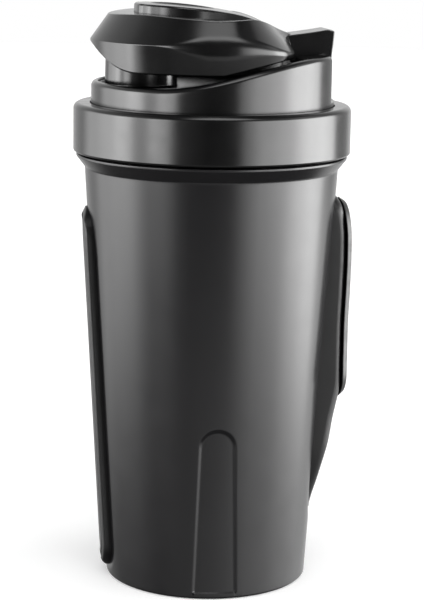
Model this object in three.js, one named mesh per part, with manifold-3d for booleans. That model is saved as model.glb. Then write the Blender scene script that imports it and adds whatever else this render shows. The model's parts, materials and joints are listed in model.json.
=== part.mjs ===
// Protein shaker bottle: a tapered cup with a threaded neck, a screw collar that clamps an upper lid
// onto it, a flip cap over the drinking spout, two soft grips and a loose wire whisk ball.
// Millimetres, +Z up, the cup's axis on Z, its foot on z = 0. -X is the spout side, +X the hinge side.
import * as THREE from "three";
import { mergeVertices } from "three/addons/utils/BufferGeometryUtils.js";
import Module from "manifold-3d";

const wasm = await Module();
wasm.setup();

// ---- driving dimensions

const AROUND = 64; // facets round the large turned pieces
const GAP = 0.3; // clearance between neighbouring pieces
const CUT = { side: 60, low: 160, high: 215 }; // how far the cutting tools reach, clear of the part

const CUP = {
  footRadius: 36.2,
  taper: 0.0586, // radius gained per millimetre of height
  wall: 2.3,
  floor: 3,
  footRing: 5, // width of the ring it stands on
  footRecess: 1.2,
  flangeZ: 148.2, // where the flange under the collar starts to flare out
  flangeTopZ: 153,
  flangeRadius: 48,
  neckRadius: 44.4,
  rimZ: 165.6,
};

const THREAD = {
  lead: 8, // rise per turn, right-handed
  crest: 45.8, // radius of the cup's ridge
  collarCrest: 44.9, // radius the collar's ridge reaches in to
  topZ: 164.2, // centre of the cup's ridge at its upper end
  rootHalf: 1.5,
  crestHalf: 0.7,
  cupTurns: 1.1,
  collarTurns: 0.84,
  offset: 2.12, // the collar's ridge sits this far under the cup's
};

const COLLAR = {
  radius: 49,
  innerRadius: 46.4,
  holeRadius: 43.2,
  bottomZ: 153.7,
  chamfer: 0.8,
  flangeZ: 169.3,
  topZ: 170.8,
  fillet: 2.1,
};

const LID = {
  shroudRadius: 42.8,
  shroudWall: 2.4,
  flangeRadius: 44.7,
  flangeZ: 167.4,
  flangeTopZ: 169,
  skirtRadius: 41.9,
  skirtWall: 1.8,
  skirtZ: 160.5,
  deckZ: 174.2,
  deckTopZ: 177,
  rimFrontZ: 178.5,
  rimRearZ: 188.6,
  rampStartX: -24,
  rampEndX: 38,
};

const SPOUT = { x: -25.3, radius: 12.75, bore: 9.5, topZ: 194 };

const HINGE = {
  x: 33,
  z: 184.5,
  pinRadius: 1.5,
  boreRadius: 1.85,
  pinHalf: 12.2, // half the pin's length; its ends sit in blind bores
  pinWall: 5.4, // wall beside the notch that holds the pin
  cheekX: 28.2, // front of the raised rear platform
  cheekWall: 2,
  tailHalf: 8.3, // half-width of the cap's tail
  notchHalf: 8.9,
  notchFloorZ: 172.4,
  notchX: 22.5,
  flareX: 36.5, // behind here the notch opens out to the lid's round
  flareHalf: 15.1, // half-width of the notch at the outer wall
};

const CAP = {
  radius: 43.2,
  creaseZ: 193,
  lowRadius: 41.6,
  lowZ: 183,
  topRadius: 37,
  topZ: 201.7,
  tipZ: 191.7, // height of the lower edge at the spout-side tip
  sweepX: -29, // where the lower edge starts to sweep up to the tip
  shoulderX: 27, // the dome ends here and the tail goes on
  shoulderPower: 6, // the higher, the sharper the shoulder's corners
  flankReach: 27.8, // distance of the top's two straight rear flanks from the axis
  flankTurn: (27 * Math.PI) / 180, // how far the flanks face away from straight back
  flankPower: 14, // the higher, the sharper the corner between round and flank
  wall: 2.2,
  rimGap: 1.1,
};

// The thumb dish in the cap's top layer.
const DISH = { x: -11, radius: 11, bowlRadius: 60, floorZ: 204 };

const FRONT_GRIP = { z0: 2, z1: 134, half: 10, proud: 2.4, border: 2.6, groove: 1.8, depth: 1 };
const REAR_GRIP = {
  half: 9.6,
  footZ: 25.5,
  backX: 34,
  padThick: 1.7,
  padHalf: 9.8,
  padZ0: 64.4,
  padZ1: 137.4,
};
const ARCH = { z1: 62, topHalf: 6.6, baseHalf: 8.15, depth: 0.6 };
const BALL = { radius: 24, wire: 1.1, meridians: 4 };

// ---- solid helpers

function solid(geometry) {
  geometry.deleteAttribute("normal");
  geometry.deleteAttribute("uv");
  const merged = mergeVertices(geometry, 1e-4);
  return new wasm.Manifold(
    new wasm.Mesh({
      numProp: 3,
      vertProperties: new Float32Array(merged.attributes.position.array),
      triVerts: new Uint32Array(merged.index.array),
    }),
  );
}

// A closed [radius, height] outline turned round Z.
function turned(profile, facets = AROUND) {
  const points = profile.map(([r, z]) => new THREE.Vector2(r, z));
  if (THREE.ShapeUtils.area(points) < 0) points.reverse();
  points.push(points[0].clone());
  return solid(new THREE.LatheGeometry(points, facets).rotateX(Math.PI / 2));
}

function shapeOf(points) {
  return new THREE.Shape(points.map(([a, b]) => new THREE.Vector2(a, b)));
}

function extruded(shape, depth) {
  return new THREE.ExtrudeGeometry(shape, { depth, bevelEnabled: false, curveSegments: 8 });
}

// A solid through a stack of scaled convex plan outlines, given from the bottom up.
function lofted(levels) {
  const vertices = levels.flatMap(({ plan, scale, z }) =>
    plan.flatMap(([x, y]) => [x * scale, y * scale, z]),
  );
  const n = levels[0].plan.length;
  const top = (levels.length - 1) * n;
  const triangles = [];
  for (let k = 0; k < top; k += n) {
    for (let i = 0; i < n; i++) {
      const a = k + i;
      const b = k + ((i + 1) % n);
      triangles.push(a, b, b + n, a, b + n, a + n);
    }
  }
  for (let i = 1; i < n - 1; i++) triangles.push(0, i + 1, i, top, top + i, top + i + 1);
  const geometry = new THREE.BufferGeometry();
  geometry.setAttribute("position", new THREE.Float32BufferAttribute(vertices, 3));
  geometry.setIndex(triangles);
  return solid(geometry);
}

// Prisms whose outlines lie in the XZ, XY and YZ planes.
function prismY(shape, y0, y1) {
  return solid(extruded(shape, y1 - y0).rotateX(Math.PI / 2).translate(0, y1, 0));
}

function prismZ(shape, z0, z1) {
  return solid(extruded(shape, z1 - z0).translate(0, 0, z0));
}

function prismX(shape, x0, x1) {
  const geometry = extruded(shape, x1 - x0).rotateX(Math.PI / 2).rotateZ(Math.PI / 2);
  return solid(geometry.translate(x0, 0, 0));
}

function block(x0, x1, y0, y1, z0, z1) {
  const geometry = new THREE.BoxGeometry(x1 - x0, y1 - y0, z1 - z0);
  return solid(geometry.translate((x0 + x1) / 2, (y0 + y1) / 2, (z0 + z1) / 2));
}

// A rod along Y through (x, z).
function rodY(x, z, radius, halfLength, facets = 20) {
  const geometry = new THREE.CylinderGeometry(radius, radius, 2 * halfLength, facets);
  return solid(geometry.translate(x, 0, z));
}

// Points of a quarter round from angle a0 to a1, in degrees.
function round(cx, cz, radius, a0, a1, steps = 4) {
  return Array.from({ length: steps + 1 }, (_, i) => {
    const a = THREE.MathUtils.degToRad(a0 + ((a1 - a0) * i) / steps);
    return [cx + radius * Math.cos(a), cz + radius * Math.sin(a)];
  });
}

function spline(points, steps) {
  const curve = new THREE.SplineCurve(points.map(([a, b]) => new THREE.Vector2(a, b)));
  return curve.getPoints(steps).map((p) => [p.x, p.y]);
}

// A screw ridge: a straight bar of trapezoid section, wrapped into a right-handed helix.
// It starts at the top and runs down; both ends fade into the wall.
function screwRidge({ wallRadius, crestRadius, topZ, turns }) {
  const sink = 0.5 * Math.sign(crestRadius - wallRadius);
  const section = shapeOf([
    [wallRadius - sink, -THREAD.rootHalf],
    [crestRadius, -THREAD.crestHalf],
    [crestRadius, THREAD.crestHalf],
    [wallRadius - sink, THREAD.rootHalf],
  ]);
  const steps = Math.round(turns * AROUND);
  const geometry = new THREE.ExtrudeGeometry(section, { depth: turns, steps, bevelEnabled: false });
  const fade = 0.06;
  const p = geometry.attributes.position;
  for (let i = 0; i < p.count; i++) {
    const t = p.getZ(i);
    const height = THREE.MathUtils.clamp(Math.min(t, turns - t) / fade, 0.15, 1);
    const radius = wallRadius - sink + (p.getX(i) - wallRadius + sink) * height;
    const angle = -2 * Math.PI * t;
    p.setXYZ(
      i,
      radius * Math.cos(angle),
      radius * Math.sin(angle),
      topZ + p.getY(i) - THREAD.lead * t,
    );
  }
  return solid(geometry);
}

const cupRadius = (z) => CUP.footRadius + CUP.taper * z;

// The layer of space from `inner` to `outer` millimetres outside the cup's tapered wall.
function coneLayer(inner, outer, z0, z1) {
  return turned([
    [cupRadius(z0) + inner, z0],
    [cupRadius(z0) + outer, z0],
    [cupRadius(z1) + outer, z1],
    [cupRadius(z1) + inner, z1],
  ]);
}

// Everything inside the tapered wall, grown by `proud`.
function coneCore(proud, z0, z1) {
  return turned([
    [0, z0],
    [cupRadius(z0) + proud, z0],
    [cupRadius(z1) + proud, z1],
    [0, z1],
  ]);
}

// Height of the upper lid's rim, which climbs in an S from the spout side to the hinge side.
function rimHeight(x) {
  const t = THREE.MathUtils.smoothstep(x, LID.rampStartX, LID.rampEndX);
  return LID.rimFrontZ + (LID.rimRearZ - LID.rimFrontZ) * t;
}

function rimLine(x0, x1, lift, steps = 14) {
  return Array.from({ length: steps + 1 }, (_, i) => {
    const x = x0 + ((x1 - x0) * i) / steps;
    return [x, rimHeight(x) + lift];
  });
}

// ---- cup

function makeCup() {
  const { footRadius, wall, floor, footRing, footRecess, rimZ, neckRadius } = CUP;
  const { flangeZ, flangeTopZ, flangeRadius } = CUP;
  const inside = cupRadius(flangeZ) - wall;
  const body = turned([
    [0, footRecess],
    [footRadius - footRing - 1, footRecess],
    [footRadius - footRing, 0],
    [footRadius, 0],
    [cupRadius(flangeZ), flangeZ],
    [flangeRadius - 0.3, flangeTopZ - 0.8],
    [flangeRadius, flangeTopZ - 0.4],
    [flangeRadius - 0.4, flangeTopZ],
    [neckRadius, flangeTopZ],
    [neckRadius, rimZ - 0.5],
    [neckRadius - 0.5, rimZ],
    [inside + 0.4, rimZ],
    [inside, rimZ - 0.4],
    [inside, flangeZ],
    ...round(footRadius - wall - 4, floor + 4, 4, 0, -90, 3),
    [0, floor],
  ]);
  const ridge = screwRidge({
    wallRadius: neckRadius,
    crestRadius: THREAD.crest,
    topZ: THREAD.topZ,
    turns: THREAD.cupTurns,
  });
  return body.subtract(makeArchPocket()).add(ridge);
}

// The shallow arch-topped panel let into the wall on the -Y side, open at the foot.
function makeArchPocket() {
  const outline = shapeOf([
    [-ARCH.baseHalf, -1],
    [ARCH.baseHalf, -1],
    ...round(0, ARCH.z1 - ARCH.topHalf, ARCH.topHalf, 0, 180, 10),
  ]);
  return prismY(outline, -CUT.side, 0).subtract(coneCore(-ARCH.depth, -2, ARCH.z1 + 2));
}

// ---- grips

// A slot shape with a round top; its lower end is flattened to `squash` of a half circle.
function stadium(half, z0, z1, squash = 1) {
  const low = z0 + half * squash;
  return shapeOf([
    ...round(0, z1 - half, half, 0, 180, 10),
    ...round(0, low, half, 180, 360, 10).map(([y, z]) => [y, low + (z - low) * squash]),
  ]);
}

function makeFrontGrip() {
  const { z0, z1, half, proud, border, groove, depth } = FRONT_GRIP;
  const slab = (inset) =>
    prismX(stadium(half - inset, z0 + inset, z1 - inset, 0.6), -CUT.side, 0);
  const channel = slab(border).subtract(slab(border + groove));
  return slab(0)
    .intersect(coneLayer(GAP, proud, 0, z1 + 1))
    .subtract(channel.intersect(coneLayer(proud - depth, proud + 1, 0, z1 + 1)));
}

// Side view of the rear grip's outer face, from its foot up to its rounded head.
function rearFace(inset) {
  return spline(
    [
      [37.6, REAR_GRIP.footZ],
      [41.9, 41],
      [46.1 - inset * 0.7, 57],
      [48.2 - inset, 66],
      [49.8 - inset, 74],
      [49.8 - inset, 93],
      [50.4 - inset, 119],
      [49.9 - inset, 129],
      [48.3 - inset, 135.8 - inset * 0.5],
      [44.4, 139.4 - inset],
    ],
    30,
  );
}

// Side view of everything between a face line and the upright line at x.
function behind(face, x) {
  return shapeOf([[x, face[0][1]], ...face, [x, face[face.length - 1][1]]]);
}

function makeRearPod() {
  const face = rearFace(REAR_GRIP.padThick + GAP);
  return prismY(behind(face, REAR_GRIP.backX), -REAR_GRIP.half, REAR_GRIP.half).subtract(
    coneCore(GAP, 0, CUP.flangeZ),
  );
}

function makeRearPad() {
  const slice = (face) => prismY(behind(face, REAR_GRIP.backX), -CUT.side, CUT.side);
  const band = slice(rearFace(0)).subtract(slice(rearFace(REAR_GRIP.padThick)));
  const plan = stadium(REAR_GRIP.padHalf, REAR_GRIP.padZ0, REAR_GRIP.padZ1);
  return band.intersect(prismX(plan, CUP.neckRadius, CUT.side));
}

// ---- collar and gasket

function makeCollar() {
  const { radius, innerRadius, holeRadius, bottomZ, chamfer, flangeZ, topZ, fillet } = COLLAR;
  const body = turned([
    [innerRadius, bottomZ],
    [radius - chamfer, bottomZ],
    [radius, bottomZ + chamfer],
    ...round(radius - fillet, topZ - fillet, fillet, 0, 90, 4),
    [holeRadius, topZ],
    [holeRadius, flangeZ],
    [innerRadius, flangeZ],
  ]);
  const ridge = screwRidge({
    wallRadius: innerRadius,
    crestRadius: THREAD.collarCrest,
    topZ: THREAD.topZ - THREAD.offset,
    turns: THREAD.collarTurns,
  });
  return body.add(ridge);
}

function makeGasket() {
  const inner = LID.skirtRadius + GAP;
  const bottom = CUP.rimZ + GAP;
  const top = LID.flangeZ - GAP;
  return turned([
    [inner, bottom],
    [CUP.neckRadius, bottom],
    [CUP.neckRadius, top],
    [inner, top],
  ]);
}

// ---- upper lid

function makeUpperLid() {
  const inner = LID.shroudRadius - LID.shroudWall;
  const skirtInner = LID.skirtRadius - LID.skirtWall;
  const top = LID.rimRearZ + 1; // the shroud is turned this high, then cut down to the rim line
  const { notchFloorZ } = HINGE;
  const shell = turned([
    [skirtInner, LID.skirtZ],
    [LID.skirtRadius, LID.skirtZ],
    [LID.skirtRadius, LID.flangeZ],
    [LID.flangeRadius, LID.flangeZ],
    [LID.flangeRadius, LID.flangeTopZ],
    [LID.shroudRadius, LID.flangeTopZ],
    [LID.shroudRadius, top],
    [inner, top],
    [inner, LID.deckTopZ],
    [0, LID.deckTopZ],
    [0, LID.deckZ],
    [skirtInner, LID.deckZ],
  ]);
  const aboveRim = shapeOf([
    [-CUT.side, LID.rimFrontZ],
    ...rimLine(LID.rampStartX, LID.rampEndX, 0),
    [CUT.side, LID.rimRearZ],
    [CUT.side, CUT.high],
    [-CUT.side, CUT.high],
  ]);
  const overRim = prismY(aboveRim, -CUT.side, CUT.side);
  const spout = turned(
    [
      [SPOUT.bore, LID.deckZ],
      [SPOUT.radius, LID.deckZ],
      [SPOUT.radius, SPOUT.topZ - 1],
      [SPOUT.radius - 1, SPOUT.topZ],
      [SPOUT.bore, SPOUT.topZ],
    ],
    40,
  ).translate([SPOUT.x, 0, 0]);
  const bore = turned(
    [
      [0, LID.deckZ - 1],
      [SPOUT.bore, LID.deckZ - 1],
      [SPOUT.bore, LID.deckTopZ + 1],
      [0, LID.deckTopZ + 1],
    ],
    40,
  ).translate([SPOUT.x, 0, 0]);
  return shell
    .subtract(overRim)
    .subtract(bore)
    .add(spout)
    .add(makeNotchTub(inner))
    .add(makeCheeks(inner).subtract(overRim))
    .subtract(makeCheekHollows(inner))
    .subtract(prismZ(notchPlan(), notchFloorZ, CUT.high))
    .subtract(rodY(HINGE.x, HINGE.z, HINGE.boreRadius, HINGE.pinHalf + GAP));
}

// Plan of the notch in the rear that the cap's tail stands in.
function notchPlan() {
  const { notchX, notchHalf, flareX, flareHalf } = HINGE;
  const outerX = Math.sqrt(LID.shroudRadius ** 2 - flareHalf ** 2);
  const slope = (flareHalf - notchHalf) / (outerX - flareX);
  const farHalf = notchHalf + (CUT.side - flareX) * slope;
  return shapeOf([
    [notchX, -notchHalf],
    [flareX, -notchHalf],
    [CUT.side, -farHalf],
    [CUT.side, farHalf],
    [flareX, notchHalf],
    [notchX, notchHalf],
  ]);
}

// The tub under the deck that the cap's tail swings down into.
function makeNotchTub(inner) {
  const side = 1.8;
  const tub = block(
    HINGE.notchX - side,
    inner + 1,
    -HINGE.notchHalf - side,
    HINGE.notchHalf + side,
    HINGE.notchFloorZ - side,
    LID.deckZ + 0.5,
  );
  return tub.intersect(roundCore(inner + 0.5));
}

// A cutting cylinder round the axis.
function roundCore(radius) {
  return turned([
    [0, CUT.low],
    [radius, CUT.low],
    [radius, CUT.high],
    [0, CUT.high],
  ]);
}

// The raised rear platform, flush with the rim, that the notch later splits into two cheeks.
function makeCheeks(inner) {
  const { cheekX } = HINGE;
  const rear = block(cheekX, CUT.side, -CUT.side, CUT.side, LID.deckTopZ - 1, LID.rimRearZ + 1);
  return roundCore(inner + 0.5).intersect(rear);
}

// The cheeks are hollow from below, apart from the walls beside the notch that hold the pin.
function makeCheekHollows(inner) {
  const { cheekX, cheekWall, pinWall, notchHalf } = HINGE;
  const x0 = cheekX + cheekWall;
  const hollowTop = rimHeight(cheekX) - cheekWall;
  const wallHalf = notchHalf + pinWall;
  const rear = block(x0, CUT.side, -CUT.side, CUT.side, LID.deckZ - 1, hollowTop);
  const middle = block(0, CUT.side, -wallHalf, wallHalf, CUT.low, CUT.high);
  return roundCore(inner).intersect(rear).subtract(middle);
}

// ---- flip cap

// Plan of the dome: a circle whose rear is drawn in to a soft shoulder, or by `flankShare` to the
// narrower run between the two flanks.
function capPlan(inset, flankShare) {
  const { radius, shoulderX, shoulderPower, flankReach, flankTurn, flankPower } = CAP;
  const drawnIn = (flat, power) => ((radius - inset) ** -power + flat ** power) ** (-1 / power);
  return Array.from({ length: AROUND }, (_, i) => {
    const a = (2 * Math.PI * i) / AROUND;
    const back = Math.cos(a);
    const facing = back * Math.cos(flankTurn) + Math.abs(Math.sin(a)) * Math.sin(flankTurn);
    const wide = drawnIn(Math.max(back, 0) / (shoulderX - inset), shoulderPower);
    const narrow = drawnIn(Math.max(facing, 0) / (flankReach - inset), flankPower);
    const reach = wide + (narrow - wide) * flankShare;
    return [reach * Math.cos(a), reach * Math.sin(a)];
  });
}

// The dome before its top and lower edge are cut, shrunk by `inset` on every side. Its lower wall
// keeps the wide shoulder; towards the top the rear is drawn in between the flanks.
function capDome(inset) {
  const { radius, creaseZ, lowRadius, lowZ, topRadius, topZ } = CAP;
  const levels = [
    [lowRadius - 1.5, lowZ - 6, 0],
    [lowRadius, lowZ, 0],
    [radius - 0.9, creaseZ - 4.2, 0],
    [radius, creaseZ - 0.4, 0],
    [radius - 0.3, creaseZ + 0.6, 0.1],
    [topRadius + 0.6, topZ - 1 - inset, 1],
    [topRadius - 0.6, topZ - inset, 1],
    [radius / 4, topZ + 1 - inset, 1],
  ];
  return lofted(
    levels.map(([r, z, flankShare]) => ({
      plan: capPlan(inset, flankShare),
      scale: (r - inset) / (radius - inset),
      z,
    })),
  );
}

// Side view of the dome: a crowned top that falls to the shoulder, a lower edge that follows the
// upper lid's rim and sweeps up to the tip on the spout side.
function capSide() {
  const under = rimLine(-4, CAP.shoulderX, CAP.rimGap).map(([x, z]) => [x, Math.max(z, CAP.lowZ)]);
  return shapeOf([
    [-CAP.radius - 1, CAP.tipZ + 1],
    ...spline(
      [
        [-CAP.radius, CAP.tipZ],
        [-38, 187.5],
        [-34, 184.8],
        [CAP.sweepX, CAP.lowZ],
      ],
      6,
    ),
    ...under,
    ...spline(
      [
        [CAP.shoulderX, 195.2],
        [20, 197.2],
        [12, 199.3],
        [0, 200.7],
        [-14, 201.8],
        [-30, 202.6],
      ],
      10,
    ),
    [-CAP.radius - 1, 202.6],
  ]);
}

// The tail: thumb tab above, hinge knuckle below, outer face following the lid's round.
function makeTail() {
  const { x, z, tailHalf } = HINGE;
  const side = shapeOf([
    [CAP.shoulderX - 2, 191.5],
    [x - 5.5, z + 2],
    ...round(x, z, 4.4, 200, 300, 5),
    [40.2, z + 0.4],
    [41.4, z + 0.9],
    [42.1, 192],
    [42.4, 196],
    [41.9, 196.8],
    [39.8, 197.2],
    [30.5, 195.9],
    [CAP.shoulderX - 2, 195.4],
  ]);
  return prismY(side, -tailHalf, tailHalf)
    .intersect(roundCore(CAP.radius))
    .subtract(rodY(x, z, HINGE.boreRadius, tailHalf + 1));
}

function makeCapShell() {
  const slab = (side) => prismY(side, -CUT.side, CUT.side);
  const outer = slab(capSide()).intersect(capDome(0));
  const hollowSide = shapeOf([
    [-CUT.side, CUT.low],
    [CUT.side, CUT.low],
    ...spline(
      [
        [CAP.shoulderX, 195.2 - CAP.wall],
        [12, 199.3 - CAP.wall],
        [-14, 201.8 - CAP.wall],
        [-30, 202.6 - CAP.wall],
      ],
      8,
    ),
    [-CUT.side, 202.6 - CAP.wall],
  ]);
  const hollow = slab(hollowSide).intersect(capDome(CAP.wall));
  return outer.subtract(hollow).add(makeTail());
}

// Plan of the raised layer: a round end over the spout that narrows towards the tail.
function makeTopPlate() {
  const plan = (sign) => [
    [-28.1, 0],
    [-25.5, 9.6 * sign],
    [-18, 16.6 * sign],
    [-8, 19.5 * sign],
    [4, 17.8 * sign],
    [16, 12.4 * sign],
    [25.5, 8.3 * sign],
  ];
  const outline = shapeOf([...spline(plan(-1), 16), ...spline(plan(1), 16).reverse().slice(0, -1)]);
  const side = shapeOf([
    ...spline(
      [
        [-29, 202.62 + GAP],
        [-14, 201.8 + GAP],
        [0, 200.7 + GAP],
        [12, 199.3 + GAP],
        [20, 197.2 + GAP],
        [25.5, 195.6 + GAP],
      ],
      10,
    ),
    ...spline(
      [
        [25.5, 196.8],
        [22.1, 197.8],
        [15.3, 200.3],
        [8.6, 202.4],
        [0, 204],
        [-14, 205.4],
        [-29, 205.8],
      ],
      12,
    ),
  ]);
  const bowl = solid(new THREE.SphereGeometry(DISH.bowlRadius, 48, 32)).translate([
    DISH.x,
    0,
    DISH.floorZ + DISH.bowlRadius,
  ]);
  const dish = bowl.intersect(roundCore(DISH.radius).translate([DISH.x, 0, 0]));
  return prismZ(outline, CUT.low, CUT.high)
    .intersect(prismY(side, -CUT.side, CUT.side))
    .subtract(dish);
}

// A silicone stopper under the dome: a disc over the spout's rim with a short boss into its bore.
function makeSpoutSeal() {
  const under = SPOUT.topZ + GAP;
  return turned(
    [
      [0, under - 2],
      [SPOUT.bore - 1.4, under - 2],
      [SPOUT.bore - 0.7, under],
      [SPOUT.radius - 1, under],
      [SPOUT.radius - 1, under + 2.4],
      [0, under + 2.4],
    ],
    32,
  ).translate([SPOUT.x, 0, 0]);
}

// ---- whisk ball

function makeBall() {
  const centre = CUP.floor + GAP + BALL.radius + BALL.wire;
  const ring = () => new THREE.TorusGeometry(BALL.radius, BALL.wire, 6, 28);
  let wire = solid(ring());
  for (let i = 0; i < BALL.meridians; i++) {
    const meridian = ring().rotateX(Math.PI / 2).rotateZ((Math.PI * (i + 0.5)) / BALL.meridians);
    wire = wire.add(solid(meridian));
  }
  return wire.translate([0, 0, centre]);
}

// ---- scene graph

const plastic = (color, roughness) => new THREE.MeshStandardMaterial({ color, roughness, metalness: 0 });
const MATERIALS = {
  cup: () => plastic(0x46434a, 0.42),
  lid: () => plastic(0x1d1d20, 0.25),
  grip: () => plastic(0x2d2c31, 0.75),
  seal: () => plastic(0xb9bcc0, 0.6),
  steel: () => new THREE.MeshStandardMaterial({ color: 0xc2c4c8, roughness: 0.25, metalness: 1 }),
};

function part(name, body, material) {
  const mesh = body.getMesh();
  const geometry = new THREE.BufferGeometry();
  geometry.setAttribute("position", new THREE.BufferAttribute(mesh.vertProperties, 3));
  geometry.setIndex(new THREE.BufferAttribute(mesh.triVerts, 1));
  geometry.computeVertexNormals();
  const made = new THREE.Mesh(geometry, material());
  made.name = name;
  return made;
}

const cup = new THREE.Group();
cup.add(
  part("cup", makeCup(), MATERIALS.cup),
  part("front_grip", makeFrontGrip(), MATERIALS.grip),
  part("rear_grip_pod", makeRearPod(), MATERIALS.grip),
  part("rear_grip_pad", makeRearPad(), MATERIALS.grip),
);

const cap = new THREE.Group();
cap.add(
  part("cap_shell", makeCapShell(), MATERIALS.lid),
  part("cap_top_plate", makeTopPlate(), MATERIALS.lid),
  part("spout_seal", makeSpoutSeal(), MATERIALS.seal),
);

const lid = new THREE.Group();
lid.add(
  part("collar", makeCollar(), MATERIALS.lid),
  part("upper_lid", makeUpperLid(), MATERIALS.lid),
  part("neck_gasket", makeGasket(), MATERIALS.seal),
  part("hinge_pin", rodY(HINGE.x, HINGE.z, HINGE.pinRadius, HINGE.pinHalf, 16), MATERIALS.steel),
  cap,
);

const bottle = new THREE.Group();
bottle.add(cup, lid, part("mixing_ball", makeBall(), MATERIALS.steel));

export default bottle;
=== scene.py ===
"""Protein shaker bottle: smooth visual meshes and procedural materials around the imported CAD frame.

Shapes are written in millimetres in the frame's own axes (+Z up, -X towards the spout) and turned
into metres when a mesh is made. The main sizes are read from the frame, so they stay in step with it.
"""

import json
import math

import bmesh
import bpy
import numpy as np
from mathutils import Matrix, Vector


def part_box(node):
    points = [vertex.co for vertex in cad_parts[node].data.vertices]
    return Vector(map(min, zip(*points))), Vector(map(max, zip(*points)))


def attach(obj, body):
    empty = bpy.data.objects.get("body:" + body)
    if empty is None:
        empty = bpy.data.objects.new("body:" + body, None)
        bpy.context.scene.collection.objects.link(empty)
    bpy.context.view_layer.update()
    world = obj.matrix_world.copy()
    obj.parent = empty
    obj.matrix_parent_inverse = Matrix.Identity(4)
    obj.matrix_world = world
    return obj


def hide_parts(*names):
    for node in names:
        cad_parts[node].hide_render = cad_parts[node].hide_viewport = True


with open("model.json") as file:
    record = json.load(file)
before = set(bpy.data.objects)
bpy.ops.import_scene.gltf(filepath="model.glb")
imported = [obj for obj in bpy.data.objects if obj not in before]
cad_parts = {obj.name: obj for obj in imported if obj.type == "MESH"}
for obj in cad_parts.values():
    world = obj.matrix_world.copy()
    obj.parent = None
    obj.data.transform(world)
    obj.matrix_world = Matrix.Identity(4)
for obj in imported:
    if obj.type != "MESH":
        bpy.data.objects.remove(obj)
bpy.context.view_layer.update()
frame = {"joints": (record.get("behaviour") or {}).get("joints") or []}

MM = 0.001


def span(node):
    """A CAD node's lowest and highest corners, in millimetres."""
    low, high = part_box(node)
    return np.array(low) / MM, np.array(high) / MM


CUP_TOP = span("cup")[1][2]
COLLAR_LOW, COLLAR_HIGH = span("collar")
FRONT_LOW, FRONT_HIGH = span("front_grip")
PAD_LOW, PAD_HIGH = span("rear_grip_pad")
POD_LOW, POD_HIGH = span("rear_grip_pod")
GASKET_LOW, GASKET_HIGH = span("neck_gasket")
PIN_LOW, PIN_HIGH = span("hinge_pin")
SEAL_LOW, SEAL_HIGH = span("spout_seal")
BALL_LOW, BALL_HIGH = span("mixing_ball")

JOINTS = {joint["name"]: joint for joint in frame["joints"]}
HINGE_X, _, HINGE_Z = (value / MM for value in JOINTS["cap_flip"]["pos_m"])
LEAD = JOINTS["lid_lift"]["range_m"][1] / MM / (JOINTS["collar_turn"]["range_deg"][1] / 360)

# Cup
FOOT_R = 36.2
TAPER = 0.0586
WALL = 2.3
FLANGE_Z = 148.2
FLANGE_TOP = 153.0
FLANGE_R = 48.0
NECK_R = 44.4
RIM_Z = CUP_TOP
THREAD_TOP = 164.2
THREAD_CREST = 1.4
CUP_TURNS = 1.1
COLLAR_TURNS = 0.84
THREAD_OFFSET = 2.12
FLOOR_Z = 3.0
FOOT_HOLLOW = 1.2
FRONT_SEAT, REAR_SEAT = 0.45, 0.3  # depth of the shallow seats round the grips
ARCH_BASE_HALF, ARCH_TOP_HALF, ARCH_TOP, ARCH_DEPTH = 8.15, 6.6, 62.0, 0.7

# Collar and upper lid
COLLAR_R = COLLAR_HIGH[0]
COLLAR_BOTTOM, COLLAR_TOP = COLLAR_LOW[2], COLLAR_HIGH[2]
COLLAR_INNER = 46.4
COLLAR_HOLE = 43.2
SHROUD_R = 42.8
SHROUD_WALL = 2.4
DECK_Z = 177.0
CHEEK_X = 28.2
RIM_FRONT, RIM_REAR = 178.5, 188.6
RIM_FILLET = 1.9
UNDER_Z, UNDER_NOTCH_Z = 174.4, 170.6  # underside of the deck, and where it is deeper below the notch
SKIRT_R, SKIRT_Z = 40.1, 160.5  # ring that reaches down inside the cup's neck
SKIRT_WALL = 1.8
LEDGE_R, LEDGE_Z = 44.7, 167.4  # flange that the collar holds down
LEDGE_TOP = LEDGE_Z + 1.6
RIM_EDGE, DECK_FILLET, SPOUT_FOOT = 0.5, 0.6, 1.2  # roundings
RAMP_X = (-24.0, 38.0)
SPOUT_X = (SEAL_LOW[0] + SEAL_HIGH[0]) / 2
SPOUT_R, SPOUT_BORE, SPOUT_TOP = 12.75, 9.5, 194.0
NOTCH_HALF, NOTCH_FLOOR, NOTCH_X = 8.9, 172.4, 22.5
FLARE_X, FLARE_SLOPE = 36.5, 1.75

# Cap
CAP_R = 43.2
CREASE_Z = 193.0
CAP_LOW_Z = 183.0
SHOULDER_X, SHOULDER_POWER = 27.0, 6
FLANK_REACH, FLANK_TURN, FLANK_POWER = 27.8, math.radians(27), 14
CAP_WALL = 2.2
TIP_DRAFT, SIDE_DRAFT = 0.06, 0.27  # how fast the lower wall narrows downwards
UPPER_LEAN = 0.7126  # how fast the upper wall narrows upwards
REAR_DROP = 2.6  # how far the crease sinks towards the rear
RIM_GAP = 1.1
TAIL_HALF = 8.3


# ---- numbers and curves


def smooth(x, a, b):
    """0 before a, 1 after b, and an S between."""
    t = np.clip((np.asarray(x, float) - a) / (b - a), 0, 1)
    return t * t * (3 - 2 * t)


def lerp(a, b, t):
    return a + (b - a) * t


def cup_radius(z):
    return FOOT_R + TAPER * np.asarray(z, float)


def curve_through(points):
    """A smooth height curve through a few (x, z) points, held flat outside them."""
    xs, zs = np.array(points, float).T
    slopes = np.gradient(zs, xs)

    def height(x):
        x = np.clip(np.asarray(x, float), xs[0], xs[-1])
        i = np.clip(np.searchsorted(xs, x) - 1, 0, len(xs) - 2)
        w = xs[i + 1] - xs[i]
        t = (x - xs[i]) / w
        return (
            (2 * t**3 - 3 * t**2 + 1) * zs[i]
            + (t**3 - 2 * t**2 + t) * w * slopes[i]
            + (3 * t**2 - 2 * t**3) * zs[i + 1]
            + (t**3 - t**2) * w * slopes[i + 1]
        )

    return height


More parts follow.
